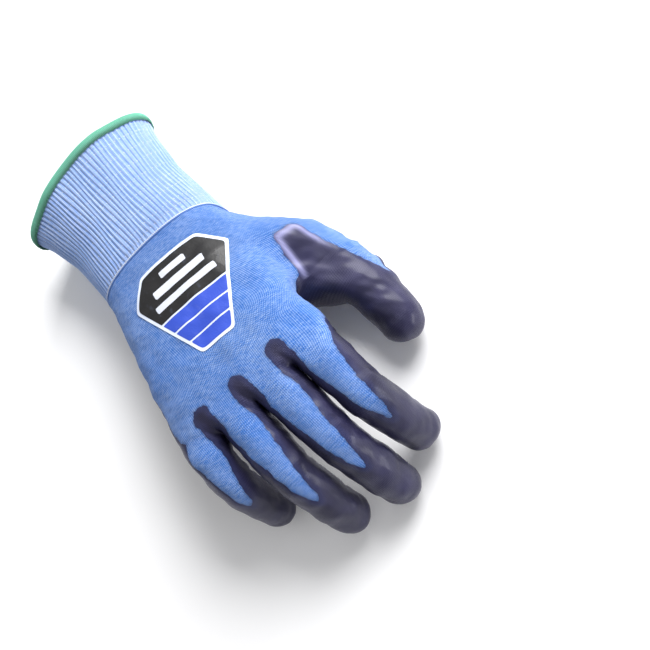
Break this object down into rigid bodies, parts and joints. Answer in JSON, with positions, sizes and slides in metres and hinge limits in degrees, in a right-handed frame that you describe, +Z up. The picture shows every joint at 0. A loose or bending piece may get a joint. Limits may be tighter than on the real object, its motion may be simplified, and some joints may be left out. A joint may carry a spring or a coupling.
{
  "type": "cut resistant glove",
  "caption": "Knitted right-hand work glove with a dipped palm and fingertips, ribbed cuff, overlocked rim and curling finger stalls.",
  "frame": {"origin": "centre of the glove's box at the surface it lies on", "axes": "+X from the cuff to the fingertips, +Y to the thumb side, +Z up out of the back of the hand"},
  "size_m": [0.2372, 0.1338, 0.0603],
  "materials": {
    "knit": "seamless fine-gauge heather knit",
    "cuff_knit": "ribbed knit with elastic",
    "coating": "satin polyurethane dip over knit",
    "hem_thread": "overlock stitch",
    "elastic": "bare elastic yarn",
    "label_border": "heat-pressed film",
    "label_panel": "heat-pressed film",
    "label_bands": "heat-pressed film"
  },
  "bodies": {
    "hand": {"hand_back_knit": "knit", "index_root_coating": "coating", "index_root_knit": "knit", "label_backing": "label_border", "label_colour_bands": "label_bands", "label_dark_panel": "label_panel", "little_root_coating": "coating", "little_root_knit": "knit", "middle_root_coating": "coating", "middle_root_knit": "knit", "palm_coating": "coating", "palm_knit": "knit", "ring_root_coating": "coating", "ring_root_knit": "knit", "thumb_root_coating": "coating", "thumb_root_knit": "knit"},
    "cuff": {"cuff_coating": "coating", "cuff_elastic_yarns": "elastic", "cuff_hem_overlock": "hem_thread", "cuff_rib_knit": "cuff_knit"},
    "index_proximal": {"index_proximal_coating": "coating", "index_proximal_knit": "knit"},
    "index_middle": {"index_middle_coating": "coating", "index_middle_knit": "knit"},
    "index_tip": {"index_tip_coating": "coating", "index_tip_knit": "knit"},
    "middle_proximal": {"middle_proximal_coating": "coating", "middle_proximal_knit": "knit"},
    "middle_middle": {"middle_middle_coating": "coating", "middle_middle_knit": "knit"},
    "middle_tip": {"middle_tip_coating": "coating", "middle_tip_knit": "knit"},
    "ring_proximal": {"ring_proximal_coating": "coating", "ring_proximal_knit": "knit"},
    "ring_middle": {"ring_middle_coating": "coating", "ring_middle_knit": "knit"},
    "ring_tip": {"ring_tip_coating": "coating", "ring_tip_knit": "knit"},
    "little_proximal": {"little_proximal_coating": "coating", "little_proximal_knit": "knit"},
    "little_middle": {"little_middle_coating": "coating", "little_middle_knit": "knit"},
    "little_tip": {"little_tip_coating": "coating", "little_tip_knit": "knit"},
    "thumb_proximal": {"thumb_proximal_coating": "coating", "thumb_proximal_knit": "knit"},
    "thumb_tip": {"thumb_tip_coating": "coating", "thumb_tip_knit": "knit"}
  },
  "joints": [
    {"name": "wrist_bend", "type": "hinge", "parent": "hand", "child": "cuff", "pos_m": [-0.05578, -0.00581, 0.02475], "axis": [0, 1, 0], "range_deg": [-15, 15], "stiffness_Nm_per_rad": 0.06},
    {"name": "index_knuckle", "type": "hinge", "parent": "hand", "child": "index_proximal", "pos_m": [0.04929, 0.02019, 0.04545], "axis": [0, 1, 0], "range_deg": [-25, 42], "stiffness_Nm_per_rad": 0.06},
    {"name": "index_curl", "type": "hinge", "parent": "index_proximal", "child": "index_middle", "pos_m": [0.07571, 0.02019, 0.0407], "axis": [0, 1, 0], "range_deg": [-30, 42], "stiffness_Nm_per_rad": 0.06},
    {"name": "index_tip", "type": "hinge", "parent": "index_middle", "child": "index_tip", "pos_m": [0.09098, 0.02019, 0.02143], "axis": [0, 1, 0], "range_deg": [-15, 21], "stiffness_Nm_per_rad": 0.06},
    {"name": "middle_knuckle", "type": "hinge", "parent": "hand", "child": "middle_proximal", "pos_m": [0.05028, -0.0044, 0.04563], "axis": [0.0087, 1, 0], "range_deg": [-25, 42], "stiffness_Nm_per_rad": 0.06},
    {"name": "middle_curl", "type": "hinge", "parent": "middle_proximal", "child": "middle_middle", "pos_m": [0.07978, -0.00466, 0.04053], "axis": [0.0087, 1, 0], "range_deg": [-30, 42], "stiffness_Nm_per_rad": 0.06},
    {"name": "middle_tip", "type": "hinge", "parent": "middle_middle", "child": "middle_tip", "pos_m": [0.09986, -0.00483, 0.02075], "axis": [0.0087, 1, 0], "range_deg": [-15, 21], "stiffness_Nm_per_rad": 0.06},
    {"name": "ring_knuckle", "type": "hinge", "parent": "hand", "child": "ring_proximal", "pos_m": [0.0493, -0.02935, 0.0455], "axis": [0.0523, 0.9986, 0], "range_deg": [-25, 42], "stiffness_Nm_per_rad": 0.06},
    {"name": "ring_curl", "type": "hinge", "parent": "ring_proximal", "child": "ring_middle", "pos_m": [0.07684, -0.03079, 0.04127], "axis": [0.0523, 0.9986, 0], "range_deg": [-30, 42], "stiffness_Nm_per_rad": 0.06},
    {"name": "ring_tip", "type": "hinge", "parent": "ring_middle", "child": "ring_tip", "pos_m": [0.09355, -0.03167, 0.02124], "axis": [0.0523, 0.9986, 0], "range_deg": [-15, 21], "stiffness_Nm_per_rad": 0.06},
    {"name": "little_knuckle", "type": "hinge", "parent": "hand", "child": "little_proximal", "pos_m": [0.04123, -0.05322, 0.04399], "axis": [0.1392, 0.9903, 0], "range_deg": [-25, 42], "stiffness_Nm_per_rad": 0.06},
    {"name": "little_curl", "type": "hinge", "parent": "little_proximal", "child": "little_middle", "pos_m": [0.05894, -0.05571, 0.03814], "axis": [0.1392, 0.9903, 0], "range_deg": [-30, 42], "stiffness_Nm_per_rad": 0.06},
    {"name": "little_tip", "type": "hinge", "parent": "little_middle", "child": "little_tip", "pos_m": [0.06811, -0.057, 0.02136], "axis": [0.1392, 0.9903, 0], "range_deg": [-15, 21], "stiffness_Nm_per_rad": 0.06},
    {"name": "thumb_swing", "type": "hinge", "parent": "hand", "child": "thumb_proximal", "pos_m": [0.01032, 0.04919, 0.01736], "axis": [0.1193, 0.1585, 0.9801], "range_deg": [-20, 18], "stiffness_Nm_per_rad": 0.06},
    {"name": "thumb_bend", "type": "hinge", "parent": "thumb_proximal", "child": "thumb_tip", "pos_m": [0.03458, 0.05394, 0.01364], "axis": [0.1193, 0.1585, 0.9801], "range_deg": [-40, 14], "stiffness_Nm_per_rad": 0.06}
  ],
  "couplings": [
    {"joint": "index_tip", "follows": "index_curl", "ratio": 0.5},
    {"joint": "middle_tip", "follows": "middle_curl", "ratio": 0.5},
    {"joint": "ring_tip", "follows": "ring_curl", "ratio": 0.5},
    {"joint": "little_tip", "follows": "little_curl", "ratio": 0.5}
  ]
}
